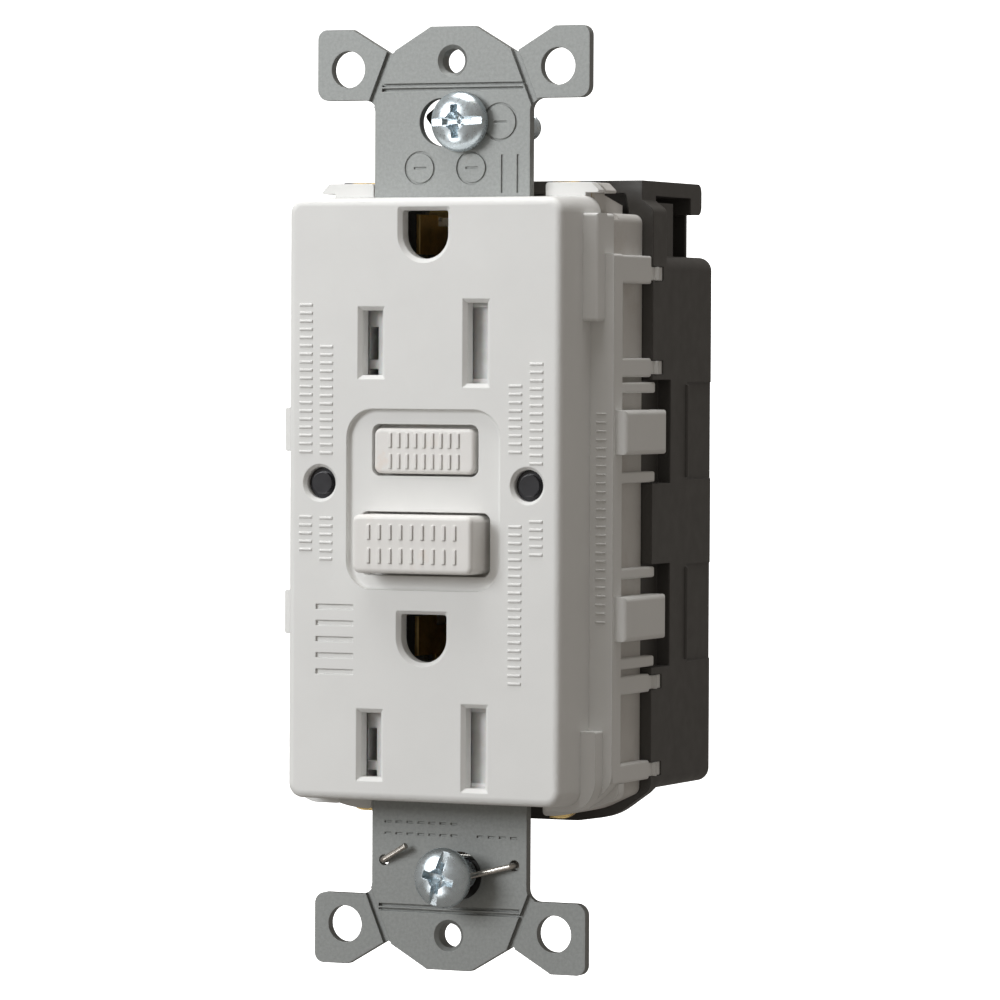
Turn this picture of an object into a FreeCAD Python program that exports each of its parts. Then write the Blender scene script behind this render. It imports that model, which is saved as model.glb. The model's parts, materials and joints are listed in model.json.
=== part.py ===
"""GFCI outlet: a duplex ground-fault receptacle on its metal mounting strap.

Units are millimetres. +Z runs up the strap, +X to the viewer's right and -Y out of the wall towards
the viewer. The origin is the middle of the strap's front face, half way between the two box screws.
"""

import FreeCAD
import Part

import math
import os

from FreeCAD import Vector

# Mounting strap
STRAP_THICK = 1.1
BOX_SCREW_Z = 41.67
PLATE_SCREW_Z = 48.42
NECK_HALF = 9.45
EAR_HALF = 16.55
EAR_TOP = 52.1
EAR_FOOT = 44.2
EAR_HOLE = (12.78, 47.65, 2.05)
STRAP_INNER_HALF = 14.2
SLOT_HALF_LENGTH = 3.97
SLOT_RADIUS = 2.65
PLATE_HOLE_RADIUS = 1.35
CLIP_HOLE = (7.96, -40.3)
SCORE_Z = 45.55
SCORE_WIDTH = 0.85
SCORE_GROOVE = 0.34
SCORE_DEPTH = 0.4

# Faces of the front cover
FACE_Y = -7.2
FACE_HALF_WIDTH = 16.5
FACE_HALF_HEIGHT = 33.1
FACE_DRAFT = 0.3
FACE_WALL = 1.8
FACE_END_WALL = 1.0
PLATEAU_Y = FACE_Y + 0.6
FLANGE_HALF = 19.6
FLANGE_BACK = 2.4
LIP_FRONT = 1.9
LIP_BACK = 3.4
LIP_INNER = 10.5
COVER_TOP = 35.0
SHOULDER_TOP = 16.0
SHOULDER_UNDER = 33.85
SHOULDER_WALL = (15.3, 15.45, 16.05)
SHOULDER_BACK = 6.8
COVER_BOTTOM = -34.8

# Outlets: centres of the blade slots and of the ground holes
BLADE_X = 6.35
BLADE_Z = (17.25, -27.0)
GROUND_RISE = 11.95
HOT_HEIGHT = 7.1
NEUTRAL_HEIGHT = 8.8
BLADE_SLOT_WIDTH = 2.4
SLOT_CHAMFER = 0.45

# Buttons and lights
TEST_Z = 5.4
TEST_HALF = (6.07, 2.5)
TEST_HOLE = (6.44, 2.66, 8.32)
RESET_Z = -4.75
RESET_HALF = (7.25, 3.2)
RESET_HOLE = (7.86, -8.29, -1.28)
RESET_PROUD = 2.86
BAR_HEIGHT = 0.14
LIGHT_X = 12.55
LIGHT_Z = 1.78
LIGHT_RADIUS = 1.74

# Middle support
MIDDLE_HALF = 18.45
MIDDLE_FRONT = FLANGE_BACK + 0.05
MIDDLE_BACK = 10.4
MIDDLE_WALL = 1.3
MIDDLE_TOP = 31.6
MIDDLE_BOTTOM = -32.2
DECK = (2.5, 3.4)
FLOOR_FRONT = 9.2
RIB_X = (3.0, 3.8)

# Rear housing
REAR_HALF = 19.75
REAR_FRONT = 10.5
REAR_BACK = 28.5
REAR_TOP = 27.1
REAR_BOTTOM = -32.3
REAR_WALL = 1.45
HOOD_HALF = 18.4
HOOD_TOP = 35.4
HOOD_BACK = 27.6
RECESS_HALF = 14.0
RECESS_BACK = 27.1
WINDOW_Z = (7.55, -12.9)
WINDOW_HALF = 5.75
WINDOW_BACK = 15.65
SOCKET_X = 11.0
SOCKET_Z = (3.5, 23.5)
SOCKET_FLOOR = 20.5
HOOK_Z = ((24.3, 25.8), (13.9, 15.4), (-21.0, -19.5), (-30.7, -29.2))

# Circuit board and switch
BOARD = (10.6, 12.1)
ARM_X = 9.5
ARM_Y = (14.6, 15.1)
ARM_PIVOT_Z = -12.6
ARM_TIP_Z = 1.5
LATCH_TRAVEL = 1.5
PIN_RADIUS = 1.1

# Solenoid: centre in X and Y, and its two ends in Z
SOLENOID = (9.0, 20.5)
SOLENOID_ENDS = (-29.5, -12.5)
PLUNGER_RADIUS = 1.8

# Transformers: axis along Y
COIL_AT = (-8.5, -22.0)
COIL_RADII = (3.4, 6.0)
COIL_FRONTS = (12.6, 17.8)
COIL_DEPTH = 4.0

FIT = 0.05
SCREW_THREAD = 1.75
SCREW_PITCH_RADIUS = 1.5
FREE_END_START = 2.9
HEAD_RADIUS = 3.35
WASHER_REACH = (5.6, 4.9)
WASHER_TURN = (8, 0)
SCREW_LENGTH = 19.3
SCREW_PROUD = (0.3, 2.9)
SCREW_X = (1.25, 0.83)
SCREW_TURN = (2, 75)
SHUTTER_Y = (-5.35, -2.6)
SHUTTER_RAMP = 0.7


# ---------------------------------------------------------------- helpers


def box(x, y, z):
    """A block from its low and high limits along each axis."""
    size = [hi - lo for lo, hi in (x, y, z)]
    return Part.makeBox(*size, Vector(x[0], y[0], z[0]))


def rod(radius, start, end):
    """A round bar between two points."""
    a, b = Vector(*start), Vector(*end)
    return Part.makeCylinder(radius, (b - a).Length, a, b - a)


def tube(outer, inner, start, end):
    return rod(outer, start, end).cut(rod(inner, start, end))


def outline(points, y):
    """A closed wire in the plane at y through (x, z) or (x, z, corner radius) points."""
    flat = [(p[0], p[1], p[2] if len(p) > 2 else 0.0) for p in points]
    corners = [Vector(x, y, z) for x, z, _ in flat]
    starts, ends, arcs = [], [], []
    for i, (_, _, radius) in enumerate(flat):
        here, before, after = corners[i], corners[i - 1], corners[(i + 1) % len(corners)]
        to_before = (before - here).normalize()
        to_after = (after - here).normalize()
        half = to_before.getAngle(to_after) / 2
        if radius <= 0:
            starts.append(here)
            ends.append(here)
            arcs.append(None)
            continue
        run = radius / math.tan(half)
        starts.append(here + to_before * run)
        ends.append(here + to_after * run)
        middle = (to_before + to_after).normalize()
        arcs.append(here + middle * (radius / math.sin(half) - radius))
    edges = []
    for i, arc in enumerate(arcs):
        if arc is not None:
            edges.append(Part.Arc(starts[i], arc, ends[i]).toShape())
        following = starts[(i + 1) % len(starts)]
        if (following - ends[i]).Length > 1e-6:
            edges.append(Part.makeLine(ends[i], following))
    return Part.Wire(edges)


def slab(points, y):
    """A plate from an outline in (x, z), between two depths along Y."""
    face = Part.Face(outline(points, y[0]))
    return face.extrude(Vector(0, y[1] - y[0], 0))


def rectangle(x, z, radius=0.0):
    """The outline points of a rectangle with one corner radius."""
    return [(x[0], z[0], radius), (x[1], z[0], radius), (x[1], z[1], radius), (x[0], z[1], radius)]


def tapered(front, back, y):
    """A solid between two outlines of the same shape at two depths."""
    return Part.makeLoft([outline(front, y[0]), outline(back, y[1])], True, True)


def mirrored(shape):
    """The shape and its mirror image across the middle plane x = 0."""
    return [shape, shape.mirror(Vector(0, 0, 0), Vector(1, 0, 0))]


def fuse(parts):
    """One clean solid from overlapping or touching pieces."""
    whole = parts[0].multiFuse(parts[1:]) if len(parts) > 1 else parts[0]
    return whole.removeSplitter()


def round_edges(shape, radius, chosen):
    """Fillets the edges for which chosen(edge) is true."""
    edges = [edge for edge in shape.Edges if chosen(edge)]
    return shape.makeFillet(radius, edges)


def lies_at(edge, axis, value, slack=0.01):
    """True when the whole edge lies at one value along X, Y or Z."""
    limits = edge.BoundBox
    low, high = getattr(limits, axis + "Min"), getattr(limits, axis + "Max")
    return abs(low - value) < slack and abs(high - value) < slack


def path_wire(points, bend):
    """A wire of straight runs joined by tangent arcs of one radius."""
    spots = [Vector(*p) for p in points]
    edges, last = [], spots[0]
    for before, here, after in zip(spots, spots[1:], spots[2:]):
        to_before = (before - here).normalize()
        to_after = (after - here).normalize()
        half = to_before.getAngle(to_after) / 2
        run = bend / math.tan(half)
        start, end = here + to_before * run, here + to_after * run
        middle = here + (to_before + to_after).normalize() * (bend / math.sin(half) - bend)
        edges.append(Part.makeLine(last, start))
        edges.append(Part.Arc(start, middle, end).toShape())
        last = end
    edges.append(Part.makeLine(last, spots[-1]))
    return Part.Wire(edges)


def wire_form(points, radius, bend):
    """A round wire bent along straight runs and tangent arcs."""
    path = path_wire(points, bend)
    direction = Vector(*points[1]) - Vector(*points[0])
    section = Part.Wire(Part.makeCircle(radius, Vector(*points[0]), direction))
    return path.makePipeShell([section], True, True)


def coil_spring(radius, wire, start, end, turns):
    """A compression spring between two points: a helix of round wire along X, Y or Z."""
    a, b = Vector(*start), Vector(*end)
    length = (b - a).Length - wire
    helix = Part.makeHelix(length / turns, length, radius - wire / 2)
    section = Part.Wire(Part.makeCircle(wire / 2, Vector(radius - wire / 2, 0, 0), Vector(0, 1, 0)))
    spring = Part.Wire(helix.Edges).makePipeShell([section], True, True)
    turn = FreeCAD.Rotation(Vector(0, 0, 1), b - a)
    spring.Placement = FreeCAD.Placement(a + (b - a).normalize() * wire / 2, turn)
    return spring


def ground_outline(z, radius, rise):
    """The D-shaped outline of a ground hole: flat at the top and round below."""
    return [(-radius, z + rise, 0.3), (radius, z + rise, 0.3), (radius, z - radius, radius * 0.98),
            (-radius, z - radius, radius * 0.98)]


# ---------------------------------------------------------------- mounting strap


def strap_outline():
    """The strap's full outline: ears, tab and neck at each end, and the wider frame inside."""
    ear_x, tab_x, notch = EAR_HALF, 2.65, (7.65, 49.3)
    right_top = [
        (STRAP_INNER_HALF, 30.6, 0.8), (NECK_HALF, 30.6, 0.5), (NECK_HALF, EAR_FOOT, 1.4),
        (ear_x, EAR_FOOT, 1.3), (ear_x, EAR_TOP, 1.1), (12.4, EAR_TOP, 0.3), (*notch, 0.2),
        (tab_x, EAR_TOP + 0.15, 0.3),
    ]
    left_top = [(-x, z, r) for x, z, r in reversed(right_top)]
    left_bottom = [(-x, -z, r) for x, z, r in right_top]
    right_bottom = [(x, -z, r) for x, z, r in reversed(right_top)]
    return right_top + left_top + left_bottom + right_bottom


def stamped_marks():
    """Plain stamped rings and bars near the top end, and a row of dashes at the bottom end."""
    depth = (-0.1, 0.14)
    marks = []
    for x, z, radius in ((-3.9, 36.6, 1.75), (2.4, 36.6, 1.75), (5.8, 41.6, 2.0)):
        marks.append(tube(radius + 0.12, radius - 0.12, (x, depth[0], z), (x, depth[1], z)))
        marks.append(box((x - 0.75, x + 0.75), depth, (z - 0.12, z + 0.12)))
    for x in (6.1, 8.0):
        marks.append(box((x - 0.13, x + 0.13), depth, (33.8, 38.0)))
    for i in range(7):
        x = -7.9 + 1.35 * i
        marks.append(box((x, x + 0.8), depth, (-37.4, -37.16)))
        marks.append(box((x, x + 0.8), depth, (-36.1, -35.86)))
    for i in range(4):
        x = 3.4 + 1.35 * i
        marks.append(box((x, x + 0.8), depth, (-37.4, -37.16)))
    return marks


def score_lines(side):
    """The shallow breakaway grooves at one end of the strap."""
    y = (-0.1, SCORE_DEPTH)
    half = SCORE_WIDTH / 2
    cuts = []
    for middle in (SCORE_Z - half + SCORE_GROOVE / 2, SCORE_Z + half - SCORE_GROOVE / 2):
        z = side * middle
        cuts.append(box((-8.6, 8.6), y, (z - SCORE_GROOVE / 2, z + SCORE_GROOVE / 2)))
    for hand in (-1, 1):
        foot, head = Vector(hand * 10.1, 0, side * 43.3), Vector(hand * 7.45, 0, side * 49.8)
        along = (head - foot).normalize()
        across = Vector(along.z, 0, -along.x) * half
        corners = [foot - across, foot + across, head + across, head - across]
        cuts.append(slab([(c.x, c.z) for c in corners], y))
    return cuts


def mounting_strap():
    strap = slab(strap_outline(), (0, STRAP_THICK))
    through = (-1, STRAP_THICK + 1)
    cuts = []
    for side in (1, -1):
        half = SLOT_HALF_LENGTH
        z = side * BOX_SCREW_Z
        heights = (z - SLOT_RADIUS, z + SLOT_RADIUS)
        cuts.append(slab(rectangle((-half, half), heights, SLOT_RADIUS * 0.999), through))
        z = side * PLATE_SCREW_Z
        strap = strap.fuse(rod(2.3, (0, STRAP_THICK - 0.2, z), (0, STRAP_THICK + 0.9, z)))
        cuts.append(rod(PLATE_HOLE_RADIUS, (0, -1, z), (0, 4, z)))
        mouth = Part.makeCone(1.8, PLATE_HOLE_RADIUS - 0.05, 0.45, Vector(0, -0.01, z), Vector(0, 1, 0))
        cuts.append(mouth)
        x, z, radius = EAR_HOLE
        for hand in (-1, 1):
            cuts.append(rod(radius, (hand * x, -1, side * z), (hand * x, 3, side * z)))
        cuts += score_lines(side)
    x, z = CLIP_HOLE
    cuts += mirrored(rod(0.6, (x, -1, z), (x, 3, z)))
    cuts.append(slab(rectangle((-9.0, 9.0), (-10.1, 10.3), 1.5), through))
    for z in BLADE_Z:
        for hand in (-1, 1):
            x = hand * BLADE_X
            cuts.append(slab(rectangle((x - 1.9, x + 1.9), (z - 4.9, z + 4.9), 0.6), through))
        z += GROUND_RISE
        cuts.append(slab(rectangle((-3.3, 3.3), (z - 2.9, z + 2.9), 0.6), through))
        cuts.append(rod(0.8, (0, -1, z - 4.45), (0, 3, z - 4.45)))
    for hand in (-1, 1):
        cuts.append(rod(2.0, (hand * LIGHT_X, -1, LIGHT_Z), (hand * LIGHT_X, 3, LIGHT_Z)))
    return strap.cut(cuts).cut(stamped_marks()).removeSplitter()


def ground_contact(z):
    """A sprung brass clip for the ground pin, with the foot that the rivet holds to the strap."""
    back = STRAP_THICK + 0.02
    foot = box((-3.0, 3.0), (back, back + 0.6), (z - 6.0, z - 3.0))
    leaves = mirrored(box((2.2, 2.65), (back, 8.0), (z - 6.0, z + 1.0)))
    leaves += mirrored(box((2.2, 2.65), (-3.5, back + 0.1), (z - 2.2, z + 2.2)))
    bridge = box((-2.65, 2.65), (7.4, 8.0), (z - 6.0, z - 3.2))
    rivet_hole = rod(0.8, (0, 0, z - 4.45), (0, 3, z - 4.45))
    return fuse([foot, bridge] + leaves).cut(rivet_hole)


def ground_rivets():
    """Rivets that fasten the two ground clips to the strap."""
    solids = []
    for z in BLADE_Z:
        z += GROUND_RISE - 4.45
        back = STRAP_THICK + 0.62
        shank = rod(0.8, (0, 0, z), (0, back, z))
        head = rod(1.4, (0, back, z), (0, back + 0.6, z))
        front = rod(1.3, (0, -0.5, z), (0, 0, z))
        solids.append(fuse([shank, head, front]))
    return Part.makeCompound(solids)


def ground_frame():
    """The thin brass frame behind the cover's lips, whose ends show at the top and bottom."""
    y = (LIP_BACK + 0.02, LIP_BACK + 0.6)
    ring = slab([(15.1, 35.1, 1.5), (-15.1, 35.1, 1.5), (-15.1, -33.0, 1.0), (-13.0, -35.15, 2.0),
                 (13.0, -35.15, 2.0), (15.1, -33.0, 1.0)], y)
    hole = slab(rectangle((-14.2, 14.2), (-31.2, 31.2), 0.6), (y[0] - 1, y[1] + 1))
    neck = (-NECK_HALF - 1.2, NECK_HALF + 1.2)
    neck_gaps = [box(neck, (y[0] - 1, y[1] + 1), (z, z + 4)) for z in (32.6, -36.6)]
    return ring.cut([hole] + neck_gaps)


def grounding_clip():
    """The bent spring wire that keeps the lower box screw in contact with the strap."""
    front, back, hole, bend = -0.42, STRAP_THICK + 0.4, CLIP_HOLE, 0.36
    points = [(-4.8, front - 0.6, -38.5), (-hole[0], front, hole[1]), (-hole[0], back, hole[1]),
              (-6.0, back, -39.5), (6.0, back, -39.5), (hole[0], back, hole[1]),
              (hole[0], front, hole[1]), (SCREW_X[1] + 2.15, front - 0.4, -41.6)]
    return wire_form(points, 0.33, bend)


# ---------------------------------------------------------------- box screws


def box_screw(x, z, proud, turn):
    """A 6-32 box screw with a slot and cross recess; its head stands a distance proud of the strap.

    Plain cylinders stand in for the thread: at its pitch radius where the washer bites into it, and at
    its outside radius on the free end. The step between them isn't on a real screw.
    """
    head_back = -proud
    end = SCREW_LENGTH - proud
    gripped = rod(SCREW_PITCH_RADIUS, (x, head_back, z), (x, FREE_END_START, z))
    shank = rod(SCREW_THREAD, (x, FREE_END_START, z), (x, end - 0.8, z))
    tip = Part.makeCone(SCREW_THREAD, 1.2, 0.8, Vector(x, end - 0.8, z), Vector(0, 1, 0))
    rim = rod(HEAD_RADIUS, (x, head_back - 1.1, z), (x, head_back, z))
    dome_radius = 5.6
    dome = Part.makeSphere(dome_radius, Vector(x, head_back - 2.1 + dome_radius, z))
    dome = dome.common(rod(HEAD_RADIUS, (x, head_back - 2.2, z), (x, head_back - 1.05, z)))
    cuts = [box((x - 3.5, x + 3.5), (head_back - 2.3, head_back - 1.25), (z - 0.5, z + 0.5)),
            box((x - 1.95, x + 1.95), (head_back - 2.3, head_back - 0.6), (z - 0.45, z + 0.45)),
            box((x - 0.45, x + 0.45), (head_back - 2.3, head_back - 0.6), (z - 1.95, z + 1.95))]
    for cut in cuts:
        cut.rotate(Vector(x, 0, z), Vector(0, 1, 0), turn)
    return fuse([rim, dome, gripped, shank, tip]).cut(cuts)


def screw_washer(x, z, reach, turn):
    """A square fibre washer, gripping the screw behind the strap and standing near its corner."""
    y = (STRAP_THICK + 0.95, STRAP_THICK + 1.65)
    washer = slab([(x + reach, z, 0.4), (x, z + reach, 0.4), (x - reach, z, 0.4), (x, z - reach, 0.4)], y)
    washer.rotate(Vector(x, 0, z), Vector(0, 1, 0), turn)
    return washer.cut(rod(SCREW_PITCH_RADIUS + 0.04, (x, 0, z), (x, 4, z)))


# ---------------------------------------------------------------- front cover


def blade_slot(x, z, height):
    """The cut for one blade: a straight slot with a chamfered mouth."""
    half_w, half_h = BLADE_SLOT_WIDTH / 2, height / 2
    wide = SLOT_CHAMFER
    straight = box((x - half_w, x + half_w), (FACE_Y - 1, 0), (z - half_h, z + half_h))
    mouth = tapered(
        rectangle((x - half_w - wide, x + half_w + wide), (z - half_h - wide, z + half_h + wide)),
        rectangle((x - half_w, x + half_w), (z - half_h, z + half_h)),
        (FACE_Y - 0.001, FACE_Y + wide),
    )
    return [straight, mouth]


def ground_hole(z):
    """The cut for one ground pin: a D-shaped hole with a chamfered mouth."""
    inner, mouth = ground_outline(z, 2.75, 2.55), ground_outline(z, 3.2, 2.95)
    return [slab(inner, (FACE_Y - 1, 0)),
            tapered(mouth, inner, (FACE_Y - 0.001, FACE_Y + SLOT_CHAMFER))]


def face_block():
    """The raised face that shows through a wall plate, drafted and with a soft front edge."""
    w, h, d = FACE_HALF_WIDTH, FACE_HALF_HEIGHT, FACE_DRAFT
    back = FLANGE_BACK
    spread = d * (back - FACE_Y) / -FACE_Y
    block = tapered(rectangle((-w, w), (-h, h), 1.6),
                    rectangle((-w - spread, w + spread), (-h - spread, h + spread), 1.9), (FACE_Y, back))
    return round_edges(block, 0.85, lambda e: lies_at(e, "Y", FACE_Y))


def face_cuts():
    """Everything that is cut through or into the face."""
    cuts = []
    for z in BLADE_Z:
        cuts += blade_slot(-BLADE_X, z, HOT_HEIGHT)
        cuts += blade_slot(BLADE_X, z, NEUTRAL_HEIGHT)
        cuts += ground_hole(z + GROUND_RISE)
    plateau = slab(rectangle((-9.3, 9.3), (-9.9, 10.0), 3.2), (FACE_Y - 1, PLATEAU_Y))
    cuts.append(round_edges(plateau, 0.45, lambda e: lies_at(e, "Y", PLATEAU_Y)))
    for x, low, high in (TEST_HOLE, RESET_HOLE):
        cuts.append(slab(rectangle((-x, x), (low, high), 0.9), (FACE_Y - 1, 0)))
    for hand in (-1, 1):
        at = (hand * LIGHT_X, LIGHT_Z)
        cuts.append(rod(LIGHT_RADIUS, (at[0], FACE_Y - 1, at[1]), (at[0], 0, at[1])))
        cuts.append(Part.makeCone(LIGHT_RADIUS + 0.35, LIGHT_RADIUS, 0.4,
                                  Vector(at[0], FACE_Y - 0.001, at[1]), Vector(0, 1, 0)))
    return cuts


def sunk_bars():
    """Five plain sunk bars low on the left of the face, where the object has two letters."""
    bars = []
    for i in range(5):
        top = -11.6 - 1.79 * i
        bars.append(box((-13.0, -8.4), (FACE_Y - 1, FACE_Y + 0.22), (top - 0.55, top)))
    return bars


def side_flange():
    """The ledge round the face that a wall plate hides, with the raised bars beside the face."""
    half, bar = FLANGE_HALF, 18.5
    ledge = slab([(half, 27.1, 0.3), (bar, 27.1), (bar, 31.5, 0.4), (-bar, 31.5, 0.4), (-bar, 27.1),
                  (-half, 27.1, 0.3), (-half, -31.0, 2.5), (-16.6, -33.7, 4.0), (16.6, -33.7, 4.0),
                  (half, -31.0, 2.5)], (0, FLANGE_BACK))
    inner = 16.4
    upper = box((inner, bar), (-2.0, 0.5), (19.7, 31.5))
    upper = round_edges(upper, 0.35, lambda e: lies_at(e, "Y", -2.0) or lies_at(e, "Z", 19.7))
    lower = slab([(inner, -25.1, 0.2), (bar, -25.1, 0.2), (bar, -34.0, 3.4), (12.5, -34.0, 0.3),
                  (12.5, -32.0, 0.2), (inner, -32.0, 1.5)], (-2.0, 0.5))
    return [ledge] + mirrored(upper) + mirrored(lower)


def shoulder(wall):
    """The outline of one top shoulder: a wall below, and an overhang with a bevelled corner above."""
    inner, under, bevel = LIP_INNER, SHOULDER_UNDER, COVER_TOP - SHOULDER_UNDER
    return [(inner, 31.0), (wall, 31.0), (wall, under), (SHOULDER_TOP + bevel, under, 0.2),
            (SHOULDER_TOP, COVER_TOP, 0.5), (inner, COVER_TOP, 0.4)]


def end_lips():
    """The set-back lips at the top and bottom corners, one each side of the strap."""
    y = (LIP_FRONT, LIP_BACK)
    bottom = slab([(LIP_INNER, -31.0), (LIP_INNER, COVER_BOTTOM, 0.5), (13.0, COVER_BOTTOM, 12.0),
                   (FLANGE_HALF, -32.6, 1.0), (FLANGE_HALF, -31.0)], y)
    return mirrored(slab(shoulder(SHOULDER_WALL[0]), y)) + mirrored(bottom)


def snap_finger(z, back, hook):
    """A finger that runs back over the middle housing; hook gives the barb's height range or None."""
    x = (MIDDLE_HALF + FIT, FLANGE_HALF)
    finger = box(x, (0.3, back), z)
    finger = round_edges(finger, 0.25, lambda e: lies_at(e, "X", FLANGE_HALF) and e.Length > 4)
    if hook is None:
        return finger
    barb = box((x[0] + 0.1, FLANGE_HALF), (back - 0.2, 13.4), hook)
    nose = Part.makePolygon([Vector(FLANGE_HALF - 0.2, 11.0, hook[0]), Vector(20.15, 11.2, hook[0]),
                             Vector(19.3, 13.4, hook[0]), Vector(FLANGE_HALF - 0.6, 13.4, hook[0]),
                             Vector(FLANGE_HALF - 0.2, 11.0, hook[0])])
    nose = Part.Face(nose).extrude(Vector(0, 0, hook[1] - hook[0]))
    return fuse([finger, barb, nose])


def side_fingers():
    """The row of snap fingers, ribs and window blocks on one side of the cover."""
    spans = ((23.9, 27.0), (13.6, 15.7), (-21.3, -19.3), (-31.0, -28.9))
    parts = [snap_finger(span, 10.3, hook) for span, hook in zip(spans, HOOK_Z)]
    inner = MIDDLE_HALF + FIT
    for middle in WINDOW_Z:
        for z in (middle + 4.3, middle - 5.6):
            parts.append(snap_finger((z, z + 1.2), 11.5, None))
        block = box((inner, 20.95), (0.6, 11.9), (middle - 2.45, middle + 2.45))
        parts.append(round_edges(block, 0.5, lambda e: lies_at(e, "X", 20.95)))
    return parts


def front_cover():
    cover = fuse([face_block()] + side_flange() + end_lips())
    end = FACE_HALF_HEIGHT - FACE_END_WALL
    hollow = slab(rectangle((-15.0, 15.0), (-end, end), 1.0), (FACE_Y + FACE_WALL, 5))
    strap_slot = box((-NECK_HALF - 0.2, NECK_HALF + 0.2), (-0.1, STRAP_THICK + 0.1), (-40, 40))
    behind_strap = box((-LIP_INNER, LIP_INNER), (-0.1, 5), (-40, 40))
    behind_strap = behind_strap.cut(box((-20, 20), (-1, 6), (-33.2, 33.2)))
    cover = cover.cut([hollow, strap_slot, behind_strap])
    collars = [slab(rectangle((-x - 0.8, x + 0.8), (low - 0.8, high + 0.8), 1.2),
                    (PLATEAU_Y + 0.3, FACE_Y + FACE_WALL + 0.3))
               for x, low, high in (TEST_HOLE, RESET_HOLE)]
    cover = fuse([cover] + collars)
    cover = cover.cut(face_cuts() + sunk_bars())
    fingers = []
    for part in side_fingers():
        fingers += mirrored(part)
    return fuse([cover] + fingers)


# ---------------------------------------------------------------- shutters


def shutter(z):
    """A sliding shutter: solid ramps lie behind both blade slots until a plug pushes it aside."""
    half = 4.6
    plate = box((-8.6, 9.0), SHUTTER_Y, (z - half, z + half))
    cuts = []
    for x in (-BLADE_X, BLADE_X):
        cuts.append(box((x - 4.3, x - 1.5), (SHUTTER_Y[0] - 1, SHUTTER_Y[1] + 1), (z - 3.9, z + 3.9)))
        ramp = slab([(x - 1.6, z - 3.9), (x + 1.5, z - 3.9), (x + 1.5, z + 3.9), (x - 1.6, z + 3.9)],
                    (SHUTTER_Y[0] - 1, SHUTTER_Y[0] + SHUTTER_RAMP))
        high, low, deep = SHUTTER_Y[0], SHUTTER_Y[0] + SHUTTER_RAMP, SHUTTER_Y[1] + 2
        corners = [(x + 1.5, high), (x - 1.6, low), (x - 1.6, deep), (x + 1.5, deep), (x + 1.5, high)]
        slope = Part.makePolygon([Vector(cx, cy, z - 5) for cx, cy in corners])
        cuts.append(ramp.cut(Part.Face(slope).extrude(Vector(0, 0, 10))))
    window = (-BLADE_X - 1.34, -BLADE_X - 0.15)
    for low, high in ((z - 1.86, z + 1.75), (z - 3.9, z - 2.9)):
        cuts.append(box(window, (SHUTTER_Y[0] - 1, SHUTTER_Y[1] + 1), (low, high)))
    post = rod(0.5, (8.9, -3.8, z), (9.9, -3.8, z))
    return fuse([plate.cut(cuts), post])


def shutter_frame(z):
    """The plate that one shutter slides on, with the end wall that its spring pushes against."""
    y = (SHUTTER_Y[1] + FIT, -FIT)
    plate = box((-13.0, 14.8), y, (z - 4.7, z + 4.7))
    wall = box((14.1, 14.8), (SHUTTER_Y[0], y[1]), (z - 3.0, z + 3.0))
    cuts = [box((x - 1.5, x + 1.5), (-4, 1), (z - 3.9, z + 3.9)) for x in (-BLADE_X, BLADE_X)]
    return fuse([plate, wall]).cut(cuts)


def shutter_spring(z):
    return coil_spring(1.0, 0.3, (9.05, -3.8, z), (14.05, -3.8, z), 6)


# ---------------------------------------------------------------- buttons


def button_bars(middle, face, half_width, rows):
    """Plain raised grip bars on the front of a button, fused into its cap."""
    bars = []
    count = 9
    for row in rows:
        for i in range(count):
            x = half_width * (2 * i / (count - 1) - 1)
            z = middle + row
            bars.append(box((x - 0.17, x + 0.17), (face - BAR_HEIGHT, face + 0.2), (z - 0.8, z + 0.8)))
    return bars


def test_button():
    """The test button with its stop flange and the stem that closes the test contact."""
    x, z = TEST_HALF
    cap = slab(rectangle((-x, x), (TEST_Z - z, TEST_Z + z), 0.8), (-6.95, -4.3))
    cap = round_edges(cap, 0.4, lambda e: lies_at(e, "Y", -6.95))
    flange = slab(rectangle((-x - 0.7, x + 0.7), (TEST_Z - z - 0.6, TEST_Z + z + 0.6), 0.5), (-5.0, -4.2))
    stem = box((-1.2, 1.2), (-4.3, 12.6), (TEST_Z - 0.85, TEST_Z + 0.85))
    bars = button_bars(TEST_Z, -6.95, 4.1, (-1.15, 1.15))
    return fuse([cap, flange, stem] + bars)


def reset_button():
    """The reset button with its stop flange, shown standing proud as it does when tripped."""
    x, z = RESET_HALF
    front = FACE_Y - RESET_PROUD
    cap = slab(rectangle((-x, x), (RESET_Z - z, RESET_Z + z), 0.8), (front, -4.2))
    cap = round_edges(cap, 0.5, lambda e: lies_at(e, "Y", front))
    flange = slab(rectangle((-x - 0.7, x + 0.7), (RESET_Z - z - 0.7, RESET_Z + z + 0.7), 0.6), (-5.0, -4.0))
    bars = button_bars(RESET_Z, front, 5.2, (-1.3, 1.3))
    return fuse([cap, flange] + bars).cut(rod(PIN_RADIUS, (0, -7.0, RESET_Z), (0, 0, RESET_Z)))


def reset_pin():
    """The steel pin behind the reset button, with the groove that the latch plate catches."""
    pin = rod(PIN_RADIUS, (0, -7.0, RESET_Z), (0, 16.2, RESET_Z))
    tip = Part.makeCone(PIN_RADIUS, 0.5, 0.8, Vector(0, 16.2, RESET_Z), Vector(0, 1, 0))
    groove = tube(2.0, 0.75, (0, 14.6, RESET_Z), (0, 15.4, RESET_Z))
    return fuse([pin, tip]).cut(groove)


# ---------------------------------------------------------------- middle support


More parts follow.
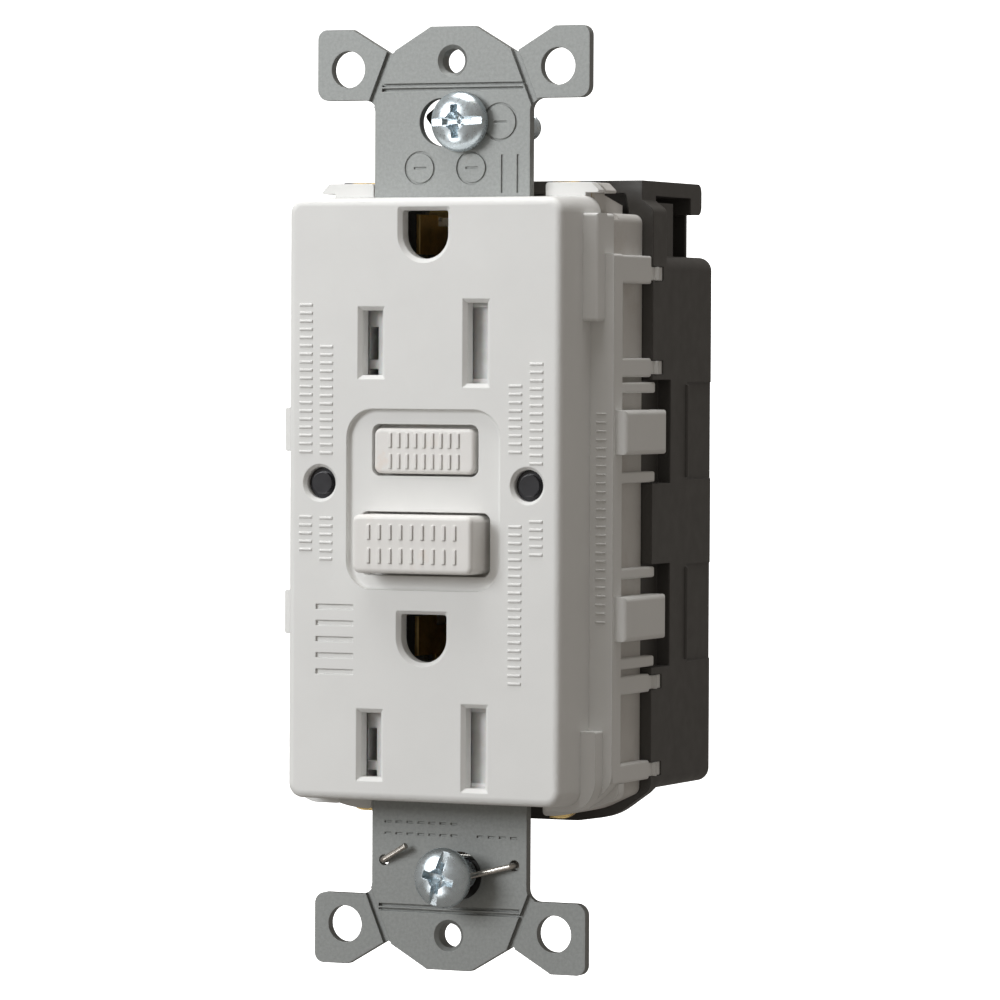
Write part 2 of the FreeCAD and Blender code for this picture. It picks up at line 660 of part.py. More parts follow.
def through_holes(y):
    """The holes for the test stem, the reset pin, the two lights and the contact tails."""
    cuts = [box((-1.35, 1.35), y, (TEST_Z - 1.0, TEST_Z + 1.0)),
            rod(PIN_RADIUS + 0.25, (0, y[0], RESET_Z), (0, y[1], RESET_Z))]
    for hand in (-1, 1):
        cuts.append(rod(1.8, (hand * LIGHT_X, y[0], LIGHT_Z), (hand * LIGHT_X, y[1], LIGHT_Z)))
        cuts.append(box((hand * ARM_X - 0.6, hand * ARM_X + 0.6), y, (3.9, 6.1)))
    return cuts


def middle_support():
    """The insulating tray between the strap and the board; its channels hold the contact strips."""
    half = MIDDLE_HALF
    ends = (MIDDLE_BOTTOM, MIDDLE_TOP)
    floor = slab(rectangle((-half, half), ends, 1.0), (FLOOR_FRONT, MIDDLE_BACK))
    wall = slab(rectangle((-half, half), ends, 1.0), (MIDDLE_FRONT, MIDDLE_BACK))
    inner = half - MIDDLE_WALL
    wall = wall.cut(box((-inner, inner), (0, 20), (ends[0] + 1.3, ends[1] - 1.3)))
    under_lips = [box((-20, 20), (0, LIP_BACK + 0.65), (z, z + 8)) for z in (30.9, -38.9)]
    under_frame = box((14.0, 15.6), (0, LIP_BACK + 0.7), (-40, 40))
    deck = box((-14.0, 14.0), DECK, (-30.8, 30.8))
    ribs = mirrored(box(RIB_X, (DECK[0], FLOOR_FRONT + 0.1), (-30.5, 30.3)))
    ribs += mirrored(box((13.3, 14.0), (DECK[0], FLOOR_FRONT + 0.1), (-30.5, 30.3)))
    front, back = SHOULDER_WALL[1:]
    corners = mirrored(tapered([(LIP_INNER, 31.0), (front, 31.0), (front, 34.2), (LIP_INNER, 34.2)],
                               [(LIP_INNER, 31.0), (back, 31.0), (back, 32.6), (LIP_INNER, 32.6)],
                               (LIP_BACK + 0.65, MIDDLE_BACK)))
    corners += mirrored(slab(shoulder(front), (LIP_BACK + 0.65, SHOULDER_BACK)))
    corners += mirrored(slab([(LIP_INNER, -31.0), (LIP_INNER, -34.8), (14.0, -34.6, 8.0), (half, -32.5, 1.0),
                              (half, -31.0)], (LIP_BACK + 0.65, MIDDLE_BACK)))
    cuts = through_holes((0, 12))
    for z in BLADE_Z:
        for hand in (-1, 1):
            x = hand * BLADE_X
            cuts.append(box((x - 1.3, x + 1.3), (0, 5), (z - 4.7, z + 4.7)))
        z += GROUND_RISE
        cuts.append(box((-2.95, 2.95), (0, 5), (z - 6.3, z + 2.8)))
    shell = wall.cut(under_lips + mirrored(under_frame))
    return fuse([floor, shell, deck] + ribs + corners).cut(cuts)


def contact_strip(hand):
    """The brass strip that feeds both blade slots on one side, with a pair of leaves at each slot."""
    pieces = [box((10.2, 10.7), (4.0, 9.0), (-30.2, 22.0))]
    for z in BLADE_Z:
        for x in (BLADE_X - 1.2, BLADE_X + 0.75):
            pieces.append(box((x, x + 0.45), (3.9, 9.0), (z - 3.1, z + 3.1)))
        pieces.append(box((BLADE_X - 1.2, 10.3), (8.5, 9.0), (z - 3.1, z + 3.1)))
    pieces.append(box((9.2, 10.3), (8.5, 9.0), (4.0, 6.0)))
    pieces.append(box((ARM_X - 0.4, ARM_X + 0.4), (8.6, BOARD[1] + 0.5), (4.1, 5.9)))
    strip = fuse(pieces)
    return strip if hand > 0 else strip.mirror(Vector(0, 0, 0), Vector(1, 0, 0))


def light_pipe(hand):
    """A smoked light guide from the face back to its lamp, with a raised middle to its lens."""
    x = hand * LIGHT_X
    guide = rod(1.45, (x, FACE_Y + FACE_WALL, LIGHT_Z), (x, 7.4, LIGHT_Z))
    lens = rod(LIGHT_RADIUS - FIT, (x, FACE_Y + 1.0, LIGHT_Z), (x, FACE_Y + FACE_WALL + 0.1, LIGHT_Z))
    middle = rod(1.2, (x, FACE_Y + 0.5, LIGHT_Z), (x, FACE_Y + 1.1, LIGHT_Z))
    collar = rod(2.1, (x, FACE_Y + FACE_WALL + 0.05, LIGHT_Z), (x, FACE_Y + FACE_WALL + 0.9, LIGHT_Z))
    return fuse([guide, lens, middle, collar])


def lamp(hand):
    """A lamp on the board, with its domed end facing the light guide."""
    x = hand * LIGHT_X
    body = rod(1.3, (x, 8.9, LIGHT_Z), (x, BOARD[0], LIGHT_Z))
    dome = Part.makeSphere(1.3, Vector(x, 8.9, LIGHT_Z))
    return fuse([body, dome])


# ---------------------------------------------------------------- rear housing


def rear_outline(inset=0.0):
    """The outline of the rear housing's front rim: stepped at the top and bowed at the bottom."""
    right = [
        (18.0, HOOD_TOP, 0.5), (18.3, 33.3, 0.6), (REAR_HALF, 32.2, 0.9), (REAR_HALF, -32.2, 1.6),
        (15.4, -35.3, 7.0), (11.0, -35.95, 6.0),
    ]
    return [(x - inset, z - math.copysign(inset, z), r) for x, z, r in right] + \
           [(-(x - inset), z - math.copysign(inset, z), r) for x, z, r in reversed(right)]


def bottom_bow():
    """The bottom of the rim, which curves up into the shallower body behind it."""
    top = -20.0
    front = [(-REAR_HALF, top), (-REAR_HALF, -32.2, 1.6), (-15.4, -35.3, 7.0), (-11.0, -35.95, 6.0),
             (11.0, -35.95, 6.0), (15.4, -35.3, 7.0), (REAR_HALF, -32.2, 1.6), (REAR_HALF, top)]
    back = [(-REAR_HALF, top), (-REAR_HALF, -31.2, 0.8), (-15.4, REAR_BOTTOM - 0.05, 2.0),
            (-11.0, REAR_BOTTOM - 0.1, 2.0), (11.0, REAR_BOTTOM - 0.1, 2.0),
            (15.4, REAR_BOTTOM - 0.05, 2.0), (REAR_HALF, -31.2, 0.8), (REAR_HALF, top)]
    return tapered(front, back, (12.0, 15.6))


def rear_shell():
    """The outside of the rear housing before it is hollowed."""
    rim = slab(rear_outline(), (REAR_FRONT, 12.05))
    body = slab(rectangle((-REAR_HALF, REAR_HALF), (REAR_BOTTOM, REAR_TOP), 1.5), (REAR_FRONT, REAR_BACK))
    body = round_edges(body, 1.4, lambda e: lies_at(e, "Y", REAR_BACK))
    band = slab([(REAR_HALF, 20.0), (REAR_HALF, 32.2, 0.9), (18.3, 33.3), (-18.3, 33.3),
                 (-REAR_HALF, 32.2, 0.9), (-REAR_HALF, 20.0)], (REAR_FRONT, 14.3))
    step = box((-18.5, 18.5), (REAR_FRONT, 19.0), (20.0, 33.0))
    core = box((-RECESS_HALF, RECESS_HALF), (REAR_FRONT, RECESS_BACK), (20.0, 34.0))
    back_plate = box((-16.8, 16.8), (RECESS_BACK - 0.5, RECESS_BACK), (20.0, 34.0))
    front_block = box((-HOOD_HALF, HOOD_HALF), (REAR_FRONT, 14.3), (31.0, HOOD_TOP))
    hood = box((-HOOD_HALF, HOOD_HALF), (REAR_FRONT, HOOD_BACK), (33.75, HOOD_TOP))
    lip = box((-HOOD_HALF, HOOD_HALF), (24.4, HOOD_BACK), (31.9, HOOD_TOP))
    hood = round_edges(fuse([hood, lip]), 1.0, lambda e: lies_at(e, "Y", HOOD_BACK) and e.Length > 30)
    ridges = []
    for middle in WINDOW_Z:
        ridge = box((REAR_HALF - 0.5, REAR_HALF + 0.25), (20.0, 20.6), (middle - 5.2, middle + 5.2))
        ridges += mirrored(round_edges(ridge, 0.2, lambda e: lies_at(e, "X", REAR_HALF + 0.25)))
    return fuse([rim, bottom_bow(), body, band, step, core, back_plate, front_block, hood] + ridges)


def side_windows(hand):
    """Cuts on one side: the two windows beside the cover's blocks, their channels and hook slots."""
    cuts = []
    outer = 22.0
    for middle in WINDOW_Z:
        low, high = middle - WINDOW_HALF, middle + WINDOW_HALF
        cuts.append(box((18.15, outer), (REAR_FRONT - 2, WINDOW_BACK), (low, high)))
        cuts.append(box((REAR_HALF - 0.35, outer), (20.4, REAR_BACK + 1), (low + 0.3, high - 0.3)))
    for low, high in HOOK_Z:
        cuts.append(box((18.3, outer), (REAR_FRONT - 1, 13.45), (low - FIT, high + FIT)))
    if hand < 0:
        cuts = [cut.mirror(Vector(0, 0, 0), Vector(1, 0, 0)) for cut in cuts]
    return cuts


def pin_places():
    """The X, Z and half sizes of the pins in the rear socket, by node."""
    return {"line_pins": [(-6.0, 18.2, 0.5, 2.4), (6.0, 18.2, 0.5, 2.4)],
            "load_pins": [(-6.0, 8.4, 0.5, 2.4), (6.0, 8.4, 0.5, 2.4)],
            "ground_pin": [(0.0, 12.0, 1.2, 1.2)]}


def rear_housing():
    inner = REAR_HALF - REAR_WALL
    hollow = box((-inner, inner), (REAR_FRONT - 1, REAR_BACK - REAR_WALL),
                 (REAR_BOTTOM + 1.3, REAR_TOP - 1.4))
    rim_hollow = slab([(16.4, 34.0, 0.4), (16.9, 31.0), (18.3, 31.0), (18.3, -31.4, 1.0), (14.8, -33.8, 5.0),
                       (11.0, -34.4, 5.0), (-11.0, -34.4, 5.0), (-14.8, -33.8, 5.0), (-18.3, -31.4, 1.0),
                       (-18.3, 31.0), (-16.9, 31.0), (-16.4, 34.0, 0.4)], (REAR_FRONT - 1, 12.4))
    shell = rear_shell().cut([hollow, rim_hollow])
    pads = []
    for middle in WINDOW_Z:
        pads += mirrored(box((17.1, inner + 0.1), (REAR_FRONT + 0.1, WINDOW_BACK + 1.2),
                             (middle - 6.6, middle + 6.6)))
    low, high = SOCKET_Z
    well = box((-SOCKET_X - 1.2, SOCKET_X + 1.2), (SOCKET_FLOOR - 1.2, REAR_BACK - 0.3),
               (low - 1.2, high + 1.2))
    cuts = side_windows(1) + side_windows(-1)
    cuts.append(slab(rectangle((-SOCKET_X, SOCKET_X), (low, high), 1.5), (SOCKET_FLOOR, REAR_BACK + 2)))
    for x, z, half_x, half_z in sum(pin_places().values(), []):
        wide, tall = half_x + FIT, half_z + FIT
        cuts.append(box((x - wide, x + wide), (15, 23), (z - tall, z + tall)))
    return fuse([shell, well] + pads).cut(cuts)


# ---------------------------------------------------------------- circuit board and its parts


def circuit_board():
    board = slab(rectangle((-16.9, 16.9), (-30.8, 25.2), 0.8), BOARD)
    plugs = []
    for hand in (-1, 1):
        x = hand * LIGHT_X
        plugs.append(rod(1.85, (x, BOARD[0], LIGHT_Z), (x, BOARD[1], LIGHT_Z)))
    return fuse([board.cut(through_holes((9, 14)))] + plugs)


def rear_pins(name):
    """The blades or pins of one circuit, standing on the board and through the socket's floor."""
    pins = []
    for x, z, half_x, half_z in pin_places()[name]:
        pin = box((x - half_x, x + half_x), (BOARD[1] + 0.02, 26.6), (z - half_z, z + half_z))
        pins.append(round_edges(pin, 0.3, lambda e: lies_at(e, "Y", 26.6)))
    return Part.makeCompound(pins)


def transformer_cores():
    """The cores of the sensing transformer and of the grounded-neutral transformer behind it."""
    x, z = COIL_AT
    return Part.makeCompound([tube(COIL_RADII[1], COIL_RADII[0], (x, front, z), (x, front + COIL_DEPTH, z))
                              for front in COIL_FRONTS])


def transformer_winding(front):
    """The turns of wire round one transformer core."""
    x, z = COIL_AT
    inner, outer = COIL_RADII
    back = front + COIL_DEPTH
    loop = box((inner - 0.45, outer + 0.4), (front - 0.3, back + 0.3), (-0.3, 0.3))
    loop = loop.cut(box((inner - 0.05, outer + 0.06), (front - 0.02, back + 0.02), (-1, 1)))
    turns = []
    for i in range(22):
        turn = loop.copy()
        turn.rotate(Vector(0, 0, 0), Vector(0, 1, 0), 15 + i * 15)
        turn.translate(Vector(x, 0, z))
        turns.append(turn)
    return turns


def line_conductors():
    """The two insulated line conductors that pass through both transformers."""
    x, z = COIL_AT
    wires = [rod(0.95, (x + dx, BOARD[1] + 0.02, z), (x + dx, 24.5, z)) for dx in (-1.1, 1.1)]
    return Part.makeCompound(wires)


def solenoid_bobbin():
    x, y = SOLENOID
    low, high = SOLENOID_ENDS[0] + 0.85, SOLENOID_ENDS[1] - 0.85
    barrel = tube(2.5, 1.9, (x, y, low), (x, y, high))
    flanges = [tube(3.9, 1.9, (x, y, z), (x, y, z + 0.7)) for z in (low, high - 0.7)]
    return fuse([barrel] + flanges)


def solenoid_winding():
    x, y = SOLENOID
    low, high = SOLENOID_ENDS[0] + 1.6, SOLENOID_ENDS[1] - 1.6
    return tube(3.7, 2.52, (x, y, low), (x, y, high))


def solenoid_frame():
    """The bent steel bracket round the solenoid's bobbin."""
    x, y = SOLENOID
    low, high = SOLENOID_ENDS
    base = box((x - 4.2, x + 4.2), (y + 4.0, y + 4.8), (low, high))
    ends = [box((x - 4.2, x + 4.2), (y - 3.9, y + 4.8), (z, z + 0.8)) for z in (low, high - 0.8)]
    return fuse([base] + ends).cut(rod(1.9, (x, y, high - 2), (x, y, high + 2)))


def solenoid_plunger():
    """The iron plunger, with the neck and head that hold the latch plate."""
    x, y = SOLENOID
    core = rod(PLUNGER_RADIUS, (x, y, -25.5), (x, y, -8.7))
    neck = rod(0.9, (x, y, -8.8), (x, y, -7.7))
    head = rod(1.5, (x, y, -7.72), (x, y, -6.9))
    return fuse([core, neck, head])


def plunger_spring():
    x, y = SOLENOID
    return coil_spring(2.75, 0.35, (x, y, SOLENOID_ENDS[1] + 0.02), (x, y, -8.72), 5)


def latch_plate():
    """The sliding plate that catches the reset pin, with the tab that the plunger pulls."""
    x, y = SOLENOID
    plate = box((-3.2, x + 2.6), (18.0, 18.8), (-8.6, -1.0))
    tab = box((x - 2.8, x + 2.6), (18.0, y + 2.4), (-8.65, -7.8))
    grip = rod(0.95, (x, y, -10), (x, y, -5)).fuse(box((x - 0.95, x + 0.95), (y, y + 4), (-10, -5)))
    slot = slab(rectangle((-1.3, 1.3), (RESET_Z - 1.3, RESET_Z + 1.3 + LATCH_TRAVEL), 1.2), (17, 20))
    return fuse([plate, tab]).cut([grip, slot])


def contact_carrier():
    """The plastic lifter that pushes both contact arms forward when the device is reset."""
    bar = box((-12.6, 12.6), (15.9, 17.4), (-7.6, -2.0))
    ridges = mirrored(box((ARM_X - 2.0, ARM_X + 2.0), (ARM_Y[1] + 0.08, 16.0), (-5.0, -4.6)))
    return fuse([bar] + ridges).cut(rod(PIN_RADIUS + 0.25, (0, 10, RESET_Z), (0, 20, RESET_Z)))


def contact_arm(hand):
    """A springy brass arm that carries one moving contact."""
    x = hand * ARM_X
    return slab(rectangle((x - 1.6, x + 1.6), (ARM_PIVOT_Z - 2.0, ARM_TIP_Z), 0.5), ARM_Y)


def moving_contact(hand):
    x = hand * ARM_X
    return rod(1.4, (x, ARM_Y[0] - 0.6, 0), (x, ARM_Y[0], 0))


def arm_post(hand):
    """The brass post that joins a contact arm to the board."""
    x = hand * ARM_X
    return box((x - 1.4, x + 1.4), (BOARD[1] + 0.02, ARM_Y[0] - 0.05),
               (ARM_PIVOT_Z - 1.9, ARM_PIVOT_Z - 0.5))


def fixed_contact(hand):
    """A fixed contact on its tab behind the board."""
    x = hand * ARM_X
    tab = box((x - 1.8, x + 1.8), (BOARD[1] + 0.02, BOARD[1] + 0.2), (-1.8, 3.7))
    face = rod(1.5, (x, BOARD[1] + 0.1, 0), (x, BOARD[1] + 0.55, 0))
    return fuse([tab, face])


def test_blade():
    """The leaf that the test button's stem presses, fixed to the back of the board."""
    foot = box((-1.1, 1.1), (BOARD[1] + 0.02, BOARD[1] + 0.27), (8.6, 10.6))
    riser = box((-1.1, 1.1), (BOARD[1] + 0.02, 13.15), (8.4, 8.65))
    leaf = box((-1.1, 1.1), (12.9, 13.15), (2.6, 8.5))
    return fuse([foot, riser, leaf])


def varistor():
    disc = rod(3.9, (-16.2, 16.5, 14.0), (-13.4, 16.5, 14.0))
    return round_edges(disc, 0.8, lambda e: lies_at(e, "X", -16.2) or lies_at(e, "X", -13.4))


def capacitor():
    block = box((13.2, 16.6), (BOARD[1] + 0.3, 19.5), (9.5, 17.5))
    return round_edges(block, 0.4, lambda e: True)


def control_chip():
    """The control chip with its two rows of legs."""
    back = BOARD[1]
    body = box((-2.4, 2.4), (back + 0.4, back + 1.9), (-17.6, -11.4))
    legs = []
    for i in range(4):
        z = -17.0 + i * 1.6
        for x in (-3.0, 2.3):
            legs.append(box((x, x + 0.7), (back + 0.02, back + 1.1), (z, z + 0.5)))
    return fuse([body] + legs)


def thyristor():
    back = BOARD[1]
    body = rod(2.2, (1.4, back + 0.3, -25.0), (1.4, back + 4.6, -25.0))
    return body.cut(box((-2, 5), (10, 20), (-23.9, -20)))


def resistors():
    """Four axial resistors across the top of the board."""
    solids = []
    for z in (21.6, 23.8):
        for x in (-13.5, 9.5):
            body = rod(0.85, (x - 2.2, BOARD[1] + 1.0, z), (x + 2.2, BOARD[1] + 1.0, z))
            lead_y = (BOARD[1] + 0.02, BOARD[1] + 1.2)
            leads = [box((x + dx - 0.2, x + dx + 0.2), lead_y, (z - 0.2, z + 0.2)) for dx in (-2.2, 2.2)]
            solids.append(fuse([body] + leads))
    return Part.makeCompound(solids)


def diodes():
    """Four rectifier diodes beside the solenoid."""
    y = BOARD[1] + 1.1
    return Part.makeCompound([rod(0.95, (x, y, -27.5), (x, y, -23.0)) for x in (4.6, 7.6, 10.6, 13.6)])


# ---------------------------------------------------------------- all nodes


def build_nodes():
    """Every node of the outlet by name."""
    upper, lower = BLADE_Z
    nodes = {
        "front_cover": front_cover(),
        "mounting_strap": mounting_strap(),
        "ground_frame": ground_frame(),
        "ground_contact_upper": ground_contact(upper + GROUND_RISE),
        "ground_contact_lower": ground_contact(lower + GROUND_RISE),
        "ground_rivets": ground_rivets(),
        "grounding_clip": grounding_clip(),
        "box_screw_top": box_screw(SCREW_X[0], BOX_SCREW_Z, SCREW_PROUD[0], SCREW_TURN[0]),
        "box_screw_bottom": box_screw(SCREW_X[1], -BOX_SCREW_Z, SCREW_PROUD[1], SCREW_TURN[1]),
        "screw_washer_top": screw_washer(SCREW_X[0], BOX_SCREW_Z, WASHER_REACH[0], WASHER_TURN[0]),
        "screw_washer_bottom": screw_washer(SCREW_X[1], -BOX_SCREW_Z, WASHER_REACH[1], WASHER_TURN[1]),
        "test_button": test_button(),
        "reset_button": reset_button(),
        "reset_pin": reset_pin(),
        "test_spring": coil_spring(2.3, 0.35, (0, -4.15, TEST_Z), (0, DECK[0] - 0.02, TEST_Z), 6),
        "reset_spring": coil_spring(2.7, 0.45, (0, -3.95, RESET_Z), (0, DECK[0] - 0.02, RESET_Z), 5),
        "middle_support": middle_support(),
        "rear_housing": rear_housing(),
        "circuit_board": circuit_board(),
        "transformer_cores": transformer_cores(),
        "transformer_windings": Part.makeCompound(sum([transformer_winding(y) for y in COIL_FRONTS], [])),
        "line_conductors": line_conductors(),
        "solenoid_bobbin": solenoid_bobbin(),
        "solenoid_winding": solenoid_winding(),
        "solenoid_frame": solenoid_frame(),
        "solenoid_plunger": solenoid_plunger(),
        "plunger_spring": plunger_spring(),
        "latch_plate": latch_plate(),
        "contact_carrier": contact_carrier(),
        "test_blade": test_blade(),
        "varistor": varistor(),
        "capacitor": capacitor(),
        "control_chip": control_chip(),
        "thyristor": thyristor(),
        "resistors": resistors(),
        "diodes": diodes(),
    }
    for name, z in (("upper", upper), ("lower", lower)):
        nodes["shutter_" + name] = shutter(z)
        nodes["shutter_frame_" + name] = shutter_frame(z)
        nodes["shutter_spring_" + name] = shutter_spring(z)
    for name, hand in (("left", -1), ("right", 1)):
        nodes["contact_strip_" + name] = contact_strip(hand)
        nodes["light_pipe_" + name] = light_pipe(hand)
        nodes["lamp_" + name] = lamp(hand)
        nodes["contact_arm_" + name] = contact_arm(hand)
        nodes["moving_contact_" + name] = moving_contact(hand)
        nodes["arm_post_" + name] = arm_post(hand)
        nodes["fixed_contact_" + name] = fixed_contact(hand)
    for name in pin_places():
        nodes[name] = rear_pins(name)
    return nodes


def main():
    os.makedirs("parts", exist_ok=True)
    for name, shape in build_nodes().items():
        print(name, shape.isValid(), len(shape.Solids), round(shape.Volume, 1))
        shape.exportStep(f"parts/{name}.step")


if __name__ == "__main__":
    main()
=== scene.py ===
import json
import math

import bmesh
import bpy
from mathutils import Matrix, Vector


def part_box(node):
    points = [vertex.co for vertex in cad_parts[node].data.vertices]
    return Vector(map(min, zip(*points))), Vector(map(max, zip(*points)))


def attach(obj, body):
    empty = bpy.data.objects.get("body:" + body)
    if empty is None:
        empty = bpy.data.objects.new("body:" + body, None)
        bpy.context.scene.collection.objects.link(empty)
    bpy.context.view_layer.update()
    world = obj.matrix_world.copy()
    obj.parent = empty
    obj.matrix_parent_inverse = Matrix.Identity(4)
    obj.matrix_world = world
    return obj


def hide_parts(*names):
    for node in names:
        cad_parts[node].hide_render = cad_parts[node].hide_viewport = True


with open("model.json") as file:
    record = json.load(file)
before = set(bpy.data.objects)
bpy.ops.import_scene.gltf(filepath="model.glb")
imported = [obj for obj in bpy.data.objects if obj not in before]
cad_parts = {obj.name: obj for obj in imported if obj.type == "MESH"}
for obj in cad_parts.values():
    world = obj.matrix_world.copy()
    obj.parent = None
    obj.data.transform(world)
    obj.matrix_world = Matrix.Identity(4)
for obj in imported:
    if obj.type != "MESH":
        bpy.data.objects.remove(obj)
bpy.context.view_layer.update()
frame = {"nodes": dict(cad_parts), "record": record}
nodes = frame["nodes"]
MM = 0.001  # lengths are in millimetres, except where a comment says metres


# ---------------------------------------------------------------- materials

NOISE_SPAN = (0.3, 0.7)  # where most of a noise factor's values lie
FINER = 2.3              # roughness varies this much more finely than colour
BEVEL_SAMPLES = 6
LOOKS = {}


def node(tree, kind, **values):
    """Adds a shader node and sets its properties or its input defaults by name."""
    made = tree.nodes.new(kind)
    for name, value in values.items():
        if hasattr(made, name):
            setattr(made, name, value)
        else:
            made.inputs[name.replace("_", " ")].default_value = value
    return made


def noise(tree, coords, scale, detail=3.0, rough=0.5):
    """A noise texture's factor over object coordinates."""
    texture = node(tree, "ShaderNodeTexNoise", Scale=scale, Detail=detail, Roughness=rough)
    tree.links.new(coords, texture.inputs["Vector"])
    return texture.outputs["Fac"]


def ramp(tree, factor, low, high, at=(0.35, 0.65)):
    """A two-colour ramp."""
    made = node(tree, "ShaderNodeValToRGB")
    made.color_ramp.elements[0].position = at[0]
    made.color_ramp.elements[1].position = at[1]
    made.color_ramp.elements[0].color = (*low, 1)
    made.color_ramp.elements[1].color = (*high, 1)
    tree.links.new(factor, made.inputs["Fac"])
    return made.outputs["Color"]


def mixed(tree, factor, a, b):
    """Mixes two colours by a factor."""
    made = node(tree, "ShaderNodeMix", data_type="RGBA")
    tree.links.new(factor, made.inputs["Factor"])
    tree.links.new(a, made.inputs["A"])
    tree.links.new(b, made.inputs["B"])
    return made.outputs["Result"]


def spread(tree, factor, low, high):
    """Maps a noise factor to a range of values."""
    made = node(tree, "ShaderNodeMapRange")
    made.inputs["From Min"].default_value = NOISE_SPAN[0]
    made.inputs["From Max"].default_value = NOISE_SPAN[1]
    made.inputs["To Min"].default_value = low
    made.inputs["To Max"].default_value = high
    tree.links.new(factor, made.inputs["Value"])
    return made.outputs["Result"]


def surface(name, color, vary=0.05, patch=180, rough=(0.45, 0.55), metal=0.0, grain=2600,
            bump=0.12, depth=0.03, edge=0.12, stain=None, **shader):
    """A procedural material: patchy colour, varied roughness, fine grain and softened edges.

    vary is how far the colour swings. patch, grain and a stain's scale are noise scales over
    metres. depth and edge are in millimetres. A stain is its colour, scale and ramp positions.
    """
    made = bpy.data.materials.new(name)
    made.use_nodes = True
    tree = made.node_tree
    bsdf = tree.nodes["Principled BSDF"]
    coords = node(tree, "ShaderNodeTexCoord").outputs["Object"]
    low = [c * (1 - vary) for c in color]
    high = [min(1.0, c * (1 + vary)) for c in color]
    tone = ramp(tree, noise(tree, coords, patch, detail=4.0, rough=0.6), low, high)
    if stain:
        shade, scale, reach = stain
        blotches = noise(tree, coords, scale, detail=6.0, rough=0.65)
        mask = ramp(tree, blotches, (0, 0, 0), (1, 1, 1), reach)
        flat = node(tree, "ShaderNodeRGB")
        flat.outputs[0].default_value = (*shade, 1)
        tone = mixed(tree, mask, tone, flat.outputs[0])
    tree.links.new(tone, bsdf.inputs["Base Color"])
    gloss = spread(tree, noise(tree, coords, patch * FINER), *rough)
    tree.links.new(gloss, bsdf.inputs["Roughness"])
    bsdf.inputs["Metallic"].default_value = metal
    soft = node(tree, "ShaderNodeBevel", samples=BEVEL_SAMPLES, Radius=edge * MM)
    relief = node(tree, "ShaderNodeBump", Strength=bump, Distance=depth * MM)
    tree.links.new(noise(tree, coords, grain, detail=2.0, rough=0.6), relief.inputs["Height"])
    tree.links.new(soft.outputs["Normal"], relief.inputs["Normal"])
    tree.links.new(relief.outputs["Normal"], bsdf.inputs["Normal"])
    for socket, value in shader.items():
        bsdf.inputs[socket.replace("_", " ")].default_value = value
    LOOKS[name] = made


surface("cover_white", color=(0.78, 0.78, 0.765), vary=0.015, patch=120, rough=(0.46, 0.56),
        grain=3800, bump=0.3, depth=0.02, edge=0.16, Specular_IOR_Level=0.35)
surface("support_white", color=(0.66, 0.645, 0.62), vary=0.04, patch=160, rough=(0.5, 0.62),
        grain=3000, bump=0.2, stain=((0.52, 0.48, 0.44), 90, (0.5, 0.75)))
surface("button_white", color=(0.80, 0.785, 0.76), vary=0.015, patch=200, rough=(0.34, 0.44),
        grain=4200, bump=0.12, edge=0.2, stain=((0.80, 0.70, 0.62), 240, (0.62, 0.8)),
        Specular_IOR_Level=0.45)
surface("shutter_grey", color=(0.74, 0.74, 0.735), vary=0.05, patch=500, rough=(0.3, 0.4),
        grain=2500, bump=0.15, Subsurface_Weight=0.15, Subsurface_Scale=0.0006)
surface("housing_black", color=(0.068, 0.064, 0.059), vary=0.04, patch=260, rough=(0.44, 0.52),
        grain=3600, bump=0.22, depth=0.03, edge=0.22, Specular_IOR_Level=0.5)
surface("strap_zinc", color=(0.29, 0.30, 0.292), vary=0.07, patch=2600, rough=(0.50, 0.60),
        metal=0.55, grain=3300, bump=0.3, depth=0.03, edge=0.1,
        stain=((0.25, 0.22, 0.19), 230, (0.66, 0.84)))
surface("screw_zinc", color=(0.66, 0.73, 0.77), vary=0.07, patch=900, rough=(0.24, 0.35),
        metal=0.88, grain=2600, bump=0.1, edge=0.08, stain=((0.66, 0.65, 0.50), 420, (0.64, 0.84)))
surface("spring_steel", color=(0.56, 0.53, 0.49), vary=0.10, patch=800, rough=(0.24, 0.36),
        metal=1.0, grain=2200, bump=0.1)
surface("soft_iron", color=(0.36, 0.36, 0.36), vary=0.12, patch=500, rough=(0.38, 0.5), metal=1.0,
        grain=2200, bump=0.2)
surface("brass", color=(0.62, 0.45, 0.19), vary=0.12, patch=380, rough=(0.3, 0.45), metal=1.0,
        grain=2500, bump=0.15, stain=((0.34, 0.24, 0.11), 260, (0.58, 0.8)))
surface("copper_wire", color=(0.60, 0.26, 0.11), vary=0.12, patch=600, rough=(0.28, 0.4),
        metal=0.9, grain=2400, bump=0.15)
surface("contact_silver", color=(0.74, 0.74, 0.72), vary=0.06, patch=600, rough=(0.22, 0.34),
        metal=1.0)
surface("fibre_black", color=(0.030, 0.028, 0.026), vary=0.2, patch=700, rough=(0.6, 0.75),
        grain=2400, bump=0.5)
surface("lens_smoke", color=(0.040, 0.040, 0.045), vary=0.1, patch=300, rough=(0.12, 0.2),
        grain=1800, bump=0.05, Coat_Weight=0.3)
surface("board_green", color=(0.03, 0.16, 0.07), vary=0.15, patch=300, rough=(0.25, 0.4),
        grain=1600, bump=0.2, stain=((0.05, 0.23, 0.10), 700, (0.5, 0.56)))
surface("ferrite", color=(0.07, 0.07, 0.08), vary=0.15, patch=500, rough=(0.45, 0.6), grain=1500,
        bump=0.3)
surface("insulation_white", color=(0.70, 0.70, 0.66), vary=0.03, patch=300, rough=(0.4, 0.5))
surface("varistor_blue", color=(0.03, 0.11, 0.34), vary=0.1, patch=300, rough=(0.3, 0.4),
        grain=900, bump=0.25)
surface("capacitor_yellow", color=(0.62, 0.40, 0.06), vary=0.07, patch=300, rough=(0.3, 0.42))
